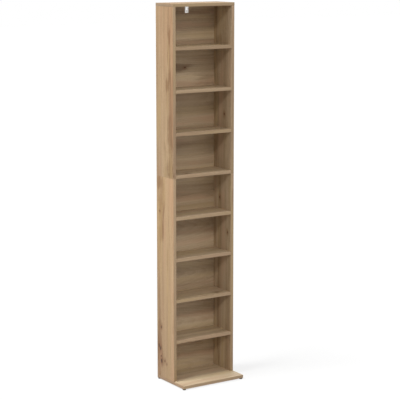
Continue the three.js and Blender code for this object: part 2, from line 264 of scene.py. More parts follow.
def new_group(name, inputs, outputs):
    """A node group with named inputs and outputs. Returns the group, its inputs and its output node."""
    group = bpy.data.node_groups.new(name, "ShaderNodeTree")
    for label, kind in inputs:
        group.interface.new_socket(label, in_out="INPUT", socket_type="NodeSocket" + kind)
    for label, kind in outputs:
        group.interface.new_socket(label, in_out="OUTPUT", socket_type="NodeSocket" + kind)
    return group, group.nodes.new("NodeGroupInput").outputs, group.nodes.new("NodeGroupOutput")


def hand_out(group, result, values):
    """Link values to the outputs of a group, by their names."""
    for label, value in values.items():
        group.links.new(value, result.inputs[label])


def make_knot_group():
    group, given, result = new_group(
        "knot",
        [("Sheet", "Vector"), ("Place", "Vector"), ("Radius", "Float")],
        [("Sheet", "Vector"), ("Core", "Float"), ("Halo", "Float"), ("Crack", "Float")],
    )
    offset = vector_calc(group, "SUBTRACT", given["Sheet"], given["Place"])
    across = add(group, "SeparateXYZ", {0: offset}).outputs[1]
    ragged = noise(group, given["Sheet"], (90, 160, 1), detail=2)
    crooked = calc(group, "MULTIPLY_ADD", ragged, 0.9, -0.45)
    # A knot is about one and a half times as long as it is wide. Distances are counted in its radii.
    rounded = vector_calc(group, "MULTIPLY", offset, (knot_squeeze, 1, 0))
    distance = calc(group, "DIVIDE", vector_calc(group, "LENGTH", rounded), given["Radius"])
    uneven = calc(group, "ADD", distance, crooked)
    spread = calc(group, "DIVIDE", distance, halo_reach)
    halo = calc(group, "EXPONENT", calc(group, "MULTIPLY", calc(group, "MULTIPLY", spread, spread), -1.0))
    # Near the knot the grain lines are drawn from closer to its middle, so they bow out round it.
    pull = calc(group, "MULTIPLY", calc(group, "MULTIPLY", across, halo), -grain_pull)
    shift = add(group, "CombineXYZ", {1: pull}).outputs[0]
    core = between(group, uneven, 0.65, 1.15, 1.0, 0.0)
    # Inside it, its own rings are darker towards the rim, and it has dried and split along a crooked line.
    rings = calc(group, "FRACT", calc(group, "MULTIPLY", uneven, rings_in_a_knot))
    towards_rim = between(group, uneven, 0.20, 0.90, 0.15, 0.75)
    rim = calc(group, "MULTIPLY", between(group, rings, 0.45, 0.95), towards_rim)
    line = calc(group, "ADD", calc(group, "DIVIDE", across, given["Radius"]), crooked)
    split = between(group, calc(group, "ABSOLUTE", line), 0.04, 0.16, 1.0, 0.0)
    inside = between(group, uneven, 0.60, 0.95, 1.0, 0.0)
    crack = calc(group, "MULTIPLY", calc(group, "MAXIMUM", rim, split), inside)
    bent = vector_calc(group, "ADD", given["Sheet"], shift)
    hand_out(group, result, {"Sheet": bent, "Core": core, "Halo": halo, "Crack": crack})
    return group


knot_group = make_knot_group()
print(f"a knot is a group of {len(knot_group.nodes)} nodes")

# %% [markdown]
# The print starts with the knots, because they bend all the rest. Most of the wood's marks may lie anywhere,
# but those that give this tower its look have places of their own, on the part of the sheet that its board
# is cut from. Some of the placed smudges are painted shade and painted light rather than marks of the wood.

# %% The sheet's named knots and smudges
# Places on the sheet are (u, v) in millimetres, and the number after them is a knot's radius.
named_knots = [
    # the lower left side
    ((147, 98), 6.0),
    ((136, 89), 7.0),
    ((76, 77), 7.0),
    ((98, 80), 2.6),
    ((240, 78), 3.8),
    ((81, 49), 3.8),
    ((70, 31), 2.2),
    ((796, 87), 3.0),
    # the inner faces of the right side
    ((4355, -873), 3.6),
    ((2555, -1287), 3.2),
    ((2394, -1353), 3.2),
    # the back, behind the second compartment
    ((2390, -3127), 3.0),
]
# A smudge is a long dark cloud: its place, its half length and half width, and how dark it is. Below zero it
# is a pale streak. Most are clouds in the wood, and those marked below as painted shade or light are not.
named_smudges = [
    # the lower left side
    ((700, 76), (60, 26), 0.50),
    ((790, 72), (80, 24), 0.38),
    ((938, 94), (40, 20), 0.46),
    ((868, 72), (110, 28), 0.34),
    ((905, 50), (90, 14), 0.16),
    ((630, 90), (120, 18), 0.24),
    ((148, 94), (80, 16), 0.42),
    ((84, 74), (44, 14), 0.30),
    ((102, 78), (38, 8), 0.85),
    ((250, 90), (30, 20), 0.26),
    ((300, 100), (340, 22), 0.30),
    ((24, 96), (80, 22), 0.34),
    ((560, 22), (66, 6), 0.28),
    ((790, 102), (240, 14), 0.14),
    ((780, -24), (260, 14), 0.14),
    ((110, -24), (110, 16), -0.14),
    # the upper left side, with a pale streak along its middle
    ((1690, 60), (430, 30), -0.30),
    ((1480, 42), (170, 18), -0.18),
    ((2180, -6), (110, 20), 0.30),
    ((2110, 0), (34, 13), 0.40),
    ((2040, 3), (190, 17), 0.36),
    ((2050, 104), (330, 12), 0.18),
    ((1952, -6), (50, 9), 0.26),
    ((1886, 20), (32, 14), 0.44),
    ((1860, -4), (110, 22), 0.22),
    ((1845, 4), (170, 36), 0.22),
    ((1788, -22), (110, 16), 0.58),
    ((1640, -4), (100, 26), 0.40),
    ((1634, 14), (34, 14), 0.24),
    ((1500, -8), (60, 36), 0.46),
    ((1476, 8), (9, 7), 0.42),
    # the left ends of the base board and the top board, the front edges of three shelves, and the strip of
    # the base board that reaches out in front
    # painted shade: the rear part of the base board's left end is darkened where it lies under the left side
    ((10410, 5872), (150, 30), 1.00),
    ((8650, 7078), (120, 30), 0.10),
    ((5670, 7032), (150, 12), -0.12),
    ((6900, 7137), (150, 12), 0.14),
    ((7310, 7172), (150, 12), 0.10),
    ((10225, 5872), (50, 30), -0.16),
    # partly a paler place in the print and partly a painted highlight: the front strip of the base board's
    # top is lightened for the light falling on it
    ((4970, 3290), (300, 60), -0.50),
    # the front edges of the right side, upper and lower
    ((9670, 1190), (600, 60), 0.46),
    ((7400, 740), (700, 60), 0.57),
    # the inner faces of the right side: a smudge, a flare along each knot, and streaks of painted shade
    # towards the rear
    ((4699, -827), (28, 26), 0.26),
    ((2550, -1287), (44, 7), 0.30),
    ((4352, -873), (34, 6), 0.24),
    ((2392, -1353), (40, 7), 0.28),
    ((2010, -1277), (330, 13), 0.28),
    ((2394, -1244), (80, 12), 0.28),
    ((4200, -799), (80, 12), 0.28),
    # the back, behind the two highest compartments
    ((2318, -3128), (92, 30), 0.36),
    ((2360, -3121), (78, 22), 0.24),
    ((2344, -3138), (130, 12), 0.12),
    ((2340, -3094), (110, 14), -0.28),
    # painted light: the lower part of the back in the second compartment is lightened where the front lamp's
    # light falls under the shelf
    ((2368, -3192), (130, 44), -0.55),
    ((2420, -2872), (280, 40), 0.24),
    # painted shade over the whole of the right side's inner faces, which makes them a little darker than the
    # left side, most of all along the middle of their depth
    ((4470, -860), (900, 220), 0.14),
    ((4470, -846), (900, 50), 0.14),
    ((2200, -1310), (900, 220), 0.14),
    ((2100, -1290), (700, 54), 0.14),
]
print(f"{len(named_knots)} named knots and {len(named_smudges)} smudges")

# %% [markdown]
# Besides the named knots, stray ones are scattered over the sheet. A Voronoi texture puts one point in each
# cell of a stretched grid and gives it a chance of its own, which sets how large the knot there is. The
# outer face of the left side, both faces of the right side and the back are cut from below a line on the
# sheet, and no stray knot comes there.

# %% The knots of the whole sheet
cell_length, cell_width = 700 * mm, 160 * mm
stray_radii = (0.4 * mm, 5.8 * mm)
smallest_radius = 0.2 * mm
stray_line = (190 * mm, 210 * mm)


def lay_knots(group, sheet):
    """Lay all knots on the sheet. Returns the sheet as they bend it, and where it shows their parts."""
    knots = [((u * mm, v * mm, 0), radius * mm) for (u, v), radius in named_knots]
    cells = vector_calc(group, "MULTIPLY", sheet, (1 / cell_length, 1 / cell_width, 1))
    feeds = {"Vector": cells, "Scale": 1.0, "Randomness": 0.7}
    stray = add(group, "TexVoronoi", feeds, voronoi_dimensions="2D")
    place = vector_calc(group, "MULTIPLY", stray.outputs["Position"], (cell_length, cell_width, 0))
    chance = add(group, "SeparateColor", {0: stray.outputs["Color"]}).outputs[0]
    allowed = between(group, add(group, "SeparateXYZ", {0: place}).outputs[1], *stray_line)
    radius = calc(group, "MULTIPLY", between(group, chance, 0.45, 1.0, *stray_radii), allowed)
    knots.append((place, calc(group, "MAXIMUM", radius, smallest_radius)))

    parts = {"Core": 0.0, "Halo": 0.0, "Crack": 0.0}
    for place, radius in knots:
        feeds = {"Sheet": sheet, "Place": place, "Radius": radius}
        knot = add(group, "Group", feeds, node_tree=knot_group).outputs
        sheet = knot["Sheet"]
        for part, so_far in parts.items():
            parts[part] = calc(group, "MAXIMUM", so_far, knot[part])
    return sheet, parts


# %% [markdown]
# A plank shows its growth rings as lines and as long pointed arches, by how far its face is from the pith,
# the middle of the trunk. So the rings are equal steps of the distance from a pith line that wanders under
# the sheet. Such lines lie 230 mm apart, as if the print showed planks of that width side by side.

# %% Growth rings
half_plank, pith_shift, deepest_pith = 115 * mm, 20 * mm, 160 * mm
rings_per_metre = 150
print(f"growth rings {1 / rings_per_metre / mm:.1f} mm apart")


def grow_rings(group, sheet):
    """The rings of the sheet, from 0 in the pale early wood to 1 in the dark late wood."""
    across = add(group, "SeparateXYZ", {0: sheet}).outputs[1]
    from_pith = calc(group, "PINGPONG", calc(group, "ADD", across, pith_shift), half_plank)
    depth = calc(group, "MULTIPLY", noise(group, sheet, (0.9, 0.6, 1), detail=1), deepest_pith)
    radius = vector_calc(group, "LENGTH", add(group, "CombineXYZ", {0: from_pith, 1: depth}).outputs[0])
    uneven = calc(group, "MULTIPLY", noise(group, sheet, (1.5, 30, 1), detail=2), 1.6)
    ring = calc(group, "FRACT", calc(group, "MULTIPLY_ADD", radius, rings_per_metre, uneven))
    late = between(group, ring, 0.35, 0.93)
    early = between(group, ring, 0.93, 1.0)
    return calc(group, "SUBTRACT", late, early)


# %% [markdown]
# A smudge fades out from its middle, and a noise frays its edge. As the knots are, it is a group that is
# used once for each place, and all smudges are added up.

# %% Smudges


def make_smudge_group():
    group, given, result = new_group(
        "smudge",
        [("Sheet", "Vector"), ("Place", "Vector"), ("Half size", "Vector"), ("Ragged", "Float")],
        [("Cloud", "Float")],
    )
    offset = vector_calc(group, "SUBTRACT", given["Sheet"], given["Place"])
    shares = vector_calc(group, "DIVIDE", offset, given["Half size"])
    distance = calc(group, "ADD", vector_calc(group, "LENGTH", shares), given["Ragged"])
    hand_out(group, result, {"Cloud": between(group, distance, 0.35, 1.25, 1.0, 0.0)})
    return group


smudge_group = make_smudge_group()
print(f"a smudge is a group of {len(smudge_group.nodes)} nodes")


def lay_smudges(group, sheet, ragged):
    """All smudges of the sheet added up, each by its darkness."""
    total = 0.0
    for (u, v), (half_length, half_width), darkness in named_smudges:
        feeds = {"Sheet": sheet, "Ragged": ragged, "Place": (u * mm, v * mm, 0)}
        feeds["Half size"] = (half_length * mm, half_width * mm, 1)
        smudge = add(group, "Group", feeds, node_tree=smudge_group)
        total = calc(group, "MULTIPLY_ADD", smudge.outputs[0], darkness, total)
    return total


# %% [markdown]
# Broad streaks of lighter and darker heartwood come from noise that is stretched along the grain, and fine
# fibres and short dark pores lie on top. The whole print gives a tone from 0, pale, to 1, dark, and keeps
# the colours out of it, so that the edge band and the back can wear the same figure in other shades. Only
# the cast says where the wood is more golden, near 0, or more rosy, near 1.

# %% The whole print
middle_tone = 0.34
slow_wander, quick_wander = 45 * mm, 6 * mm


def make_print_group():
    outputs = [(label, "Float") for label in ("Tone", "Cast", "Halo", "Knot", "Crack", "Pores", "Relief")]
    group, given, result = new_group("oak_print", [("Sheet", "Vector")], outputs)
    bent, parts = lay_knots(group, given["Sheet"])
    # The grain wanders sideways, slowly over a length of plank and a little over a hand's breadth.
    slow = noise(group, bent, (1.3, 5, 1), detail=1)
    quick = calc(group, "MULTIPLY", noise(group, bent, (8, 24, 1), detail=2), quick_wander)
    wander = calc(group, "MULTIPLY_ADD", slow, slow_wander, quick)
    sheet = vector_calc(group, "ADD", bent, add(group, "CombineXYZ", {1: wander}).outputs[0])
    rings = grow_rings(group, sheet)
    ragged = calc(group, "MULTIPLY_ADD", noise(group, sheet, (9, 75, 1), detail=4), 2.0, -1.0)

    streaks = noise(group, sheet, (0.75, 34, 1), detail=4, roughness=0.55)
    broad = noise(group, sheet, (0.5, 11, 1), detail=2)
    fibres = noise(group, sheet, (30, 1300, 1), detail=2, roughness=0.7)
    # Pores are short dark dashes, thickest in the early wood of each ring.
    dashes = noise(group, sheet, (75, 2100, 1), detail=1)
    least = calc(group, "MULTIPLY_ADD", rings, 0.10, 0.55)
    pores = between(group, calc(group, "SUBTRACT", dashes, least), 0.0, 0.06)
    # Here and there the wood is figured with darker patches.
    patches = between(group, noise(group, sheet, (7, 26, 1), detail=3, roughness=0.6), 0.45, 0.7)
    figured = between(group, noise(group, sheet, (1.1, 6, 1), detail=1), 0.48, 0.66)

    def swing(layer):
        return calc(group, "SUBTRACT", layer, 0.5)

    # Each layer adds to the tone by its weight. The plain noises swing to both sides of their middle.
    layers = [
        (swing(streaks), 1.5),
        (swing(broad), 0.9),
        (rings, 0.20),
        (swing(fibres), 0.45),
        (pores, 0.30),
        (calc(group, "MULTIPLY", patches, figured), 0.35),
        (lay_smudges(group, bent, ragged), 1.0),
    ]
    tone = middle_tone
    for layer, weight in layers:
        tone = calc(group, "MULTIPLY_ADD", layer, weight, tone)
    tone = calc(group, "MULTIPLY_ADD", parts["Halo"], 0.30, tone, clamp=True)
    cast = noise(group, bent, (1.6, 17, 1), detail=3, roughness=0.55)
    relief = calc(group, "MULTIPLY_ADD", pores, -0.7, calc(group, "MULTIPLY", fibres, 0.3))
    hand_out(group, result, {"Tone": tone, "Cast": cast, "Pores": pores, "Relief": relief})
    hand_out(group, result, {"Halo": parts["Halo"], "Knot": parts["Core"], "Crack": parts["Crack"]})
    return group


print_group = make_print_group()
print(f"the oak print has {len(print_group.nodes)} nodes")

# %% [markdown]
# A decor finish lays colours over that figure: pale wood and dark, a rosy cast in some streaks and a golden
# one in others, a rust-brown ring about each knot and the dark brown of its core. The paper is sealed, with
# a soft satin sheen that is a little duller in the pores. The left side and the top board wear the plain
# decor, and the right side, the shelves and the base board a paler, less warm copy of it. That extra paleness
# is painted light: it makes the inside of the compartments and the base board's top lighter than the lamps
# alone make them.

# %% Decor finishes
crack_brown = paint(38, 20, 8)
satin = 0.50
pore_depth = 0.12 * mm


def make_decor(name, pale, dark, rosy, golden, ring, core):
    material, tree, shader = new_finish(name)
    sheet = add(tree, "UVMap", uv_map="sheet").outputs[0]
    figure = add(tree, "Group", {"Sheet": sheet}, node_tree=print_group).outputs
    layers = [
        (between(tree, figure["Cast"], 0.50, 0.66, 0.0, 0.55), rosy),
        (between(tree, figure["Cast"], 0.34, 0.50, 0.50, 0.0), golden),
        (calc(tree, "MULTIPLY", calc(tree, "POWER", figure["Halo"], 1.6), 0.62), ring),
        (calc(tree, "MULTIPLY", figure["Knot"], 0.90), core),
        (calc(tree, "MULTIPLY", figure["Crack"], 0.85), crack_brown),
    ]
    colour = blend(tree, figure["Tone"], pale, dark)
    for share, shade in layers:
        colour = blend(tree, share, colour, shade)
    tree.links.new(colour, shader.inputs["Base Color"])
    dull = calc(tree, "MULTIPLY_ADD", figure["Pores"], 0.16, satin)
    tree.links.new(calc(tree, "MULTIPLY_ADD", figure["Tone"], 0.08, dull), shader.inputs["Roughness"])
    shader.inputs["Specular IOR Level"].default_value = 0.38
    bump(tree, shader, figure["Relief"], pore_depth, 0.6)
    return material


board_faces = make_decor(
    "oak_faces", paint(203, 173, 134), paint(142, 108, 74), paint(187, 147, 113), paint(191, 160, 110),
    paint(128, 82, 44), paint(78, 46, 16))
# The paler copy's extra paleness is painted light, for the inside of the compartments and the base board's
# top.
pale_lit_faces = make_decor(
    "pale_lit_oak_faces", paint(206, 186, 155), paint(147, 121, 93), paint(190, 160, 131), paint(194, 172, 130),
    paint(128, 88, 56), paint(80, 48, 18))
board_bands = make_decor(
    "oak_bands", paint(188, 163, 132), paint(144, 117, 89), paint(172, 142, 114), paint(176, 152, 112),
    paint(128, 88, 54), paint(80, 48, 20))
# The back's decor is a paler, less warm copy too, and its paleness is painted light for the dim inside of the
# compartments.
back_face = make_decor(
    "oak_back", paint(202, 181, 150), paint(139, 114, 88), paint(184, 151, 123), paint(190, 167, 129),
    paint(118, 80, 48), paint(76, 46, 18))
print(f"four decor finishes, each of {len(board_faces.node_tree.nodes)} nodes round the print")

# %% [markdown]
# Where a board isn't covered, its core shows: pressed chips in straw, tan and brown, a few millimetres each.
# The back is a thin brown fibreboard, whose rear face stays bare.

# %% Raw board finishes
chips_per_metre = (420, 420, 900)


def make_chipboard():
    material, tree, shader = new_finish("raw_chipboard")
    place = add(tree, "TexCoord").outputs["Object"]
    cells = vector_calc(tree, "MULTIPLY", place, chips_per_metre)
    chips = add(tree, "TexVoronoi", {"Vector": cells, "Scale": 1.0})
    grade = add(tree, "SeparateColor", {0: chips.outputs["Color"]}).outputs[0]
    colour = blend(tree, grade, paint(204, 176, 132), paint(150, 118, 78))
    dust = noise(tree, place, (900, 900, 900), detail=3)
    colour = blend(tree, between(tree, dust, 0.5, 0.75), colour, paint(120, 90, 58))
    tree.links.new(colour, shader.inputs["Base Color"])
    shader.inputs["Roughness"].default_value = 0.9
    bump(tree, shader, chips.outputs["Distance"], 0.3 * mm)
    return material


def make_hardboard():
    material, tree, shader = new_finish("raw_hardboard")
    place = add(tree, "TexCoord").outputs["Object"]
    clouds = noise(tree, place, (7, 7, 7), detail=4, roughness=0.6)
    felt = noise(tree, place, (700, 700, 260), detail=4, roughness=0.65)
    colour = blend(tree, between(tree, clouds, 0.35, 0.68), paint(150, 116, 82), paint(128, 96, 66))
    colour = blend(tree, between(tree, felt, 0.40, 0.70), colour, paint(106, 78, 54))
    specks = noise(tree, place, (1500, 1500, 1500), detail=1)
    colour = blend(tree, between(tree, specks, 0.68, 0.74), colour, paint(74, 52, 36))
    tree.links.new(colour, shader.inputs["Base Color"])
    shader.inputs["Roughness"].default_value = 0.82
    bump(tree, shader, felt, 0.15 * mm)
    return material


raw_core = make_chipboard()
raw_back = make_hardboard()
print(f"bare boards: {raw_core.name} and {raw_back.name}")

# %% [markdown]
# The fittings are of five plain materials: die-cast zinc with its frosty skin, bright plated steel, white
# powder coat, which always has a faint orange peel, black-brown moulded plastic with a grain, and bare beech
# for the dowels. The small white bracket hangs in the shade and still looks bright, because its gloss throws
# back the white room. So its coat has some of a metal's shine mixed in, and a clear layer lies over it.

# %% Finishes of the fittings


def make_fitting_finish(name, light, shade, clouds, rough, grain, depth, metallic=0.0):
    """Two shades in clouds, a roughness between two values, and a grain of a fineness and depth."""
    material, tree, shader = new_finish(name)
    place = add(tree, "TexCoord").outputs["Object"]
    cloud = noise(tree, place, (clouds, clouds, clouds), detail=3, roughness=0.6)
    fine = noise(tree, place, (grain, grain, grain), detail=3)
    colour = blend(tree, between(tree, cloud, 0.36, 0.64), light, shade)
    colour = blend(tree, between(tree, fine, 0.55, 0.80, 0.0, 0.35), colour, shade)
    tree.links.new(colour, shader.inputs["Base Color"])
    tree.links.new(between(tree, cloud, 0.3, 0.7, *rough), shader.inputs["Roughness"])
    shader.inputs["Metallic"].default_value = metallic
    bump(tree, shader, fine, depth * mm)
    return material


def make_beech():
    material, tree, shader = new_finish("bare_beech")
    place = add(tree, "TexCoord").outputs["Object"]
    grain = noise(tree, place, (700, 700, 60), detail=3)
    flecks = noise(tree, place, (2600, 2600, 420), detail=1)
    colour = blend(tree, between(tree, grain, 0.35, 0.65), paint(214, 182, 138), paint(190, 152, 106))
    colour = blend(tree, between(tree, flecks, 0.60, 0.72), colour, paint(150, 104, 66))
    tree.links.new(colour, shader.inputs["Base Color"])
    shader.inputs["Roughness"].default_value = 0.75
    bump(tree, shader, grain, 0.05 * mm)
    return material


cast_zinc = make_fitting_finish(
    "cast_zinc", paint(176, 178, 180), paint(140, 143, 146),
    clouds=260, rough=(0.36, 0.52), grain=1800, depth=0.04, metallic=0.9)
plated = make_fitting_finish(
    "plated_steel", paint(205, 208, 212), paint(176, 180, 178),
    clouds=340, rough=(0.22, 0.36), grain=2600, depth=0.01, metallic=1.0)
powder_coat = make_fitting_finish(
    "white_powder_coat", paint(250, 249, 247), paint(246, 245, 242),
    clouds=90, rough=(0.30, 0.38), grain=1300, depth=0.02, metallic=0.45)
clear_layer = {"Specular IOR Level": 1.0, "Coat Weight": 1.0, "Coat Roughness": 0.15, "Coat IOR": 2.0}
for name, value in clear_layer.items():
    powder_coat.node_tree.nodes["Principled BSDF"].inputs[name].default_value = value
foot_plastic = make_fitting_finish(
    "foot_plastic", paint(44, 41, 38), paint(58, 54, 50),
    clouds=420, rough=(0.50, 0.66), grain=3000, depth=0.03)
beech = make_beech()
fitting_finishes = (cast_zinc, plated, powder_coat, foot_plastic, beech)
print("fittings:", ", ".join(finish.name for finish in fitting_finishes))

# %% [markdown]
# ## The boards
# A packed board is a loose set of triangles with a plain slanted arris. A copy of it is merged and its flat
# areas joined, so that its real edges can be found and softened: the arrises at the front become round, and
# the sawn ends get a hair of a bevel, which draws the fine line where two boards meet. The bores for the
# fittings stay as they are. The boards then lie on the oak sheet: each face gets its own place on it.

# %% Prepare a board
arris_softening = 0.35 * mm
arris_reach = 1.1 * mm
flat_angle = radians(1)
edge_angle = radians(20)
doubled = 0.005 * mm


def loose_copy(node, name):
    """A copy of a node's mesh in an object of its own, with its triangles joined up again."""
    piece = bpy.data.objects.new(name, nodes[node].data.copy())
    piece.data.name = name
    bpy.context.scene.collection.objects.link(piece)
    edit(piece)
    bpy.ops.mesh.select_all(action="SELECT")
    bpy.ops.mesh.remove_doubles(threshold=doubled)
    bpy.ops.mesh.customdata_custom_splitnormals_clear()
    bpy.ops.mesh.dissolve_limited(angle_limit=flat_angle)
    leave()
    return piece


def mesh_box(piece, dowel_reach=0.0):
    """The lowest and highest corner of a piece, without any dowels that stand out of its ends."""
    corners = [vertex.co for vertex in piece.data.vertices]
    low = Vector([min(corner[axis] for corner in corners) for axis in range(3)])
    high = Vector([max(corner[axis] for corner in corners) for axis in range(3)])
    reach = Vector((dowel_reach, 0, 0))
    return low + reach, high - reach


def soften(piece, width, dowel_reach=0.0):
    """Round the outer edges of a board. The edges of its bores stay sharp."""
    low, high = mesh_box(piece, dowel_reach)
    mesh = edit(piece, "EDGE")

    def outer(edge):
        """Whether an edge lies where two sides of the board meet, and is a real edge."""
        middle = (edge.verts[0].co + edge.verts[1].co) / 2
        gaps = [min(abs(middle[axis] - end[axis]) for end in (low, high)) for axis in range(3)]
        sides = sum(gap < arris_reach for gap in gaps)
        return sides > 1 and edge.calc_face_angle(0) > edge_angle

    count = pick(mesh.edges, outer)
    bpy.ops.mesh.bevel(offset=width, offset_type="OFFSET", segments=2, profile=0.5, affect="EDGES")
    leave()
    return count


# %% [markdown]
# A face knows what it is by its place on the board. The two broad faces show the decor, the front edge and
# the free ends carry a glued band, and the rear edge, the hidden ends and the bores are raw.

# %% Lay a board on the oak sheet
faces_slot, bands_slot, raw_slot, dowel_slot = range(4)
along_x, along_y, along_z = range(3)
# These steps on the sheet, in metres, lead from the place of a board's first face to its other sides.
sheet_of_back_side = Vector((2.37, 0.61))
sheet_of_bands = Vector((5.20, 1.93))
sheet_of_ends = Vector((7.70, 3.11))
near_a_side = 0.9 * mm
shelf_dowel_reach = 10 * mm
# How far a normal must point along the thin axis on a broad face, and along the grain on an end.
broad_facing, end_facing = 0.8, 0.5


def lay_face(piece, face, start, along, sideways):
    """Give one face its place on the sheet, which begins at start. Two axes of the piece become u and v."""
    sheet = piece.data.uv_layers["sheet"].data
    for corner in face.loop_indices:
        place = piece.data.vertices[piece.data.loops[corner].vertex_index].co
        sheet[corner].uv = (start[0] + place[along], start[1] + place[sideways])


def lay_on_sheet(piece, grain, sheet_place, banded_ends, dowel_reach):
    """Give a board its finishes and, face by face, its places on the sheet. Its depth is always along Y."""
    thin = along_x if grain == along_z else along_z
    low, high = mesh_box(piece, dowel_reach)
    piece.data.uv_layers.new(name="sheet")
    for face in piece.data.polygons:
        centre, normal = face.center, face.normal
        on_a_side = any(abs(centre[i] - end[i]) < near_a_side for i in range(3) for end in (low, high))
        if abs(normal[thin]) > broad_facing and on_a_side:
            slot, along, sideways = faces_slot, grain, along_y
            start = sheet_place + (sheet_of_back_side if normal[thin] > 0 else Vector((0, 0)))
        elif abs(normal[grain]) > end_facing:
            slot, along, sideways = (bands_slot if banded_ends else raw_slot), along_y, thin
            start = sheet_place + sheet_of_ends
        else:
            slot, along, sideways = bands_slot, grain, thin
            start = sheet_place + sheet_of_bands
            if centre.y > (low.y + high.y) / 2:
                slot = raw_slot
        if not on_a_side:
            slot = raw_slot
        if dowel_reach and abs(centre.x) > high.x + near_a_side:
            slot = dowel_slot
        face.material_index = slot
        lay_face(piece, face, start, along, sideways)


def make_board(node, grain, sheet_place):
    piece = loose_copy(node, node + "_board")
    dowel_reach = shelf_dowel_reach if node.startswith("shelf") else 0.0
    softened = soften(piece, arris_softening, dowel_reach)
    piece.data.materials.clear()
    # The left side and the top board keep the plain decor. All other boards get the paler copy, whose
    # paleness is painted light.
    plain_decor_board = node in ("left_side_upper", "left_side_lower", "top_panel")
    for finish in (board_faces if plain_decor_board else pale_lit_faces, board_bands, raw_core, beech):
        piece.data.materials.append(finish)
    banded_ends = node in ("top_panel", "base_panel")
    lay_on_sheet(piece, grain, Vector(sheet_place), banded_ends, dowel_reach)
    smooth(piece)
    hand_over(piece, "oak_decor", node)
    print(f"{piece.name}: {softened} edges softened, {len(piece.data.polygons)} faces")
    return piece


# %% [markdown]
# The four side lengths stand with their grain upright, and the shelves, the top and the base run across. The
# places on the sheet are chosen so that the left side shows its knots near the rear edge. Its upper length
# is cut from the same strip as the lower one, half a metre further on, which is why the figure jumps at the
# seam.

# %% Make the boards
upper_left_shift = 500 * mm
lower_left_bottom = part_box("left_side_lower")[0].z
shelf_numbers = range(1, 9)
# Each board has its grain and its place on the sheet, in metres.
board_places = {
    "left_side_upper": (along_z, (upper_left_shift - lower_left_bottom, 0.0)),
    "left_side_lower": (along_z, (-lower_left_bottom, 0.0)),
    "right_side_upper": (along_z, (3.10, -0.90)),
    "right_side_lower": (along_z, (1.70, -1.35)),
    "top_panel": (along_x, (0.90, 2.20)),
    "base_panel": (along_x, (2.60, 2.75)),
}
for number in shelf_numbers:
    # Each shelf is cut a little further along the sheet, and further across it.
    board_places[f"shelf_{number}"] = (along_x, (0.41 * number, 3.30 + 0.23 * number))

boards = {}
for node, (grain, sheet_place) in board_places.items():
    boards[node] = make_board(node, grain, sheet_place)

# %% [markdown]
# ## Turned pieces
# Cams, bolts, screws, nails and feet are all round, and each could be a lathe profile spun about its axis.
# Here a filled circle is extruded ring by ring instead, and resized at each ring, which needs no second tool
# and leaves both ends closed. Recesses are then carved with the Boolean modifier.

# %% Helpers for turned pieces


def turned(name, rings, sides=32):
    """A round piece from (radius, height) rings in millimetres, in the order in which it is turned."""
    only()
    radius, height = rings[0]
    bpy.ops.mesh.primitive_circle_add(
        vertices=sides, radius=radius * mm, fill_type="NGON", location=(0, 0, height * mm))
    piece = bpy.context.object
    piece.name = piece.data.name = name
    settle(piece)
    edit(piece)
    bpy.ops.mesh.select_all(action="SELECT")
    for next_radius, next_height in rings[1:]:
        rise = {"value": (0, 0, (next_height - height) * mm)}
        bpy.ops.mesh.extrude_region_move(TRANSFORM_OT_translate=rise)
        share = next_radius / radius
        bpy.ops.transform.resize(value=(share, share, 1))
        radius, height = next_radius, next_height
    bpy.ops.mesh.select_all(action="SELECT")
    bpy.ops.mesh.normals_make_consistent(inside=False)
    leave()
    return piece


def carve(piece, *cutters):
    """Cut some shapes out of a piece, and throw the cutters away."""
    for cutter in cutters:
        apply_modifier(piece, "BOOLEAN", operation="DIFFERENCE", solver="EXACT", object=cutter)
        bpy.data.objects.remove(cutter)


def placed_copy(master, name, place, turn=None):
    """A copy of a master piece with its own mesh, turned and moved to its place in millimetres."""
    piece = bpy.data.objects.new(name, master.data.copy())
    piece.data.name = name
    piece.data.transform(Matrix.Translation(Vector(place) * mm) @ (turn or Matrix.Identity(4)))
    bpy.context.scene.collection.objects.link(piece)
    return piece


def join(name, *pieces):
    """Make several pieces one, under a new name."""
    only(*pieces)
    bpy.ops.object.join()
    joined = bpy.context.object
    joined.name = joined.data.name = name
    return joined


# %% [markdown]
# ## The back
# Two thin panels close the rear. Their front wears the decor, in a paler copy whose paleness is painted light
# for the dim inside of the compartments, and their rear and their edges are raw. Small nails hold them to the
# boards, and each is driven just below the surface, so it sits in a little dimple. One nail and one dimple
# cutter are made, and copied to every place.

# %% Nails for the back
nail_rings = [
    (0.55, -0.10), (0.95, -0.16), (1.25, -0.32), (1.30, -0.50),
    (1.05, -0.68), (0.60, -0.78), (0.60, -2.70), (0.20, -2.95)]
dimple_rings = [(1.36, -0.80), (1.45, -0.72), (1.85, 0.02), (2.10, 0.60)]
head_back = Matrix.Rotation(-pi / 2, 4, "X")
nail_step, nail_margin, least_margin = 150, 16, 12
side_nail_x, shelf_nail_x = 160, 75
back_rear = cad_high.y / mm
nail_places = {"upper_back_panel": [], "lower_back_panel": []}
for node, places in nail_places.items():
    low, high = box_in_mm(node)
    rows = round((high.z - low.z) / nail_step)
    for row in range(rows + 1):
        height = low.z + nail_margin + (high.z - low.z - 2 * nail_margin) * row / rows
        places += [(-side_nail_x, back_rear, height), (side_nail_x, back_rear, height)]
    for number in shelf_numbers:
        shelf_low, shelf_high = box_in_mm(f"shelf_{number}")
        middle = (shelf_low.z + shelf_high.z) / 2
        # A shelf gets nails from the panel that covers all of its rear edge.
        if low.z + least_margin < middle < high.z - least_margin:
            places += [(-shelf_nail_x, back_rear, middle), (shelf_nail_x, back_rear, middle)]
print({node: len(places) for node, places in nail_places.items()}, "nails")

# %% Make the back panels
back_softening = 0.25 * mm
decor_slot, bare_slot = range(2)
front_facing = 0.9
behind_the_decor = cad_high.y - 2.5 * mm


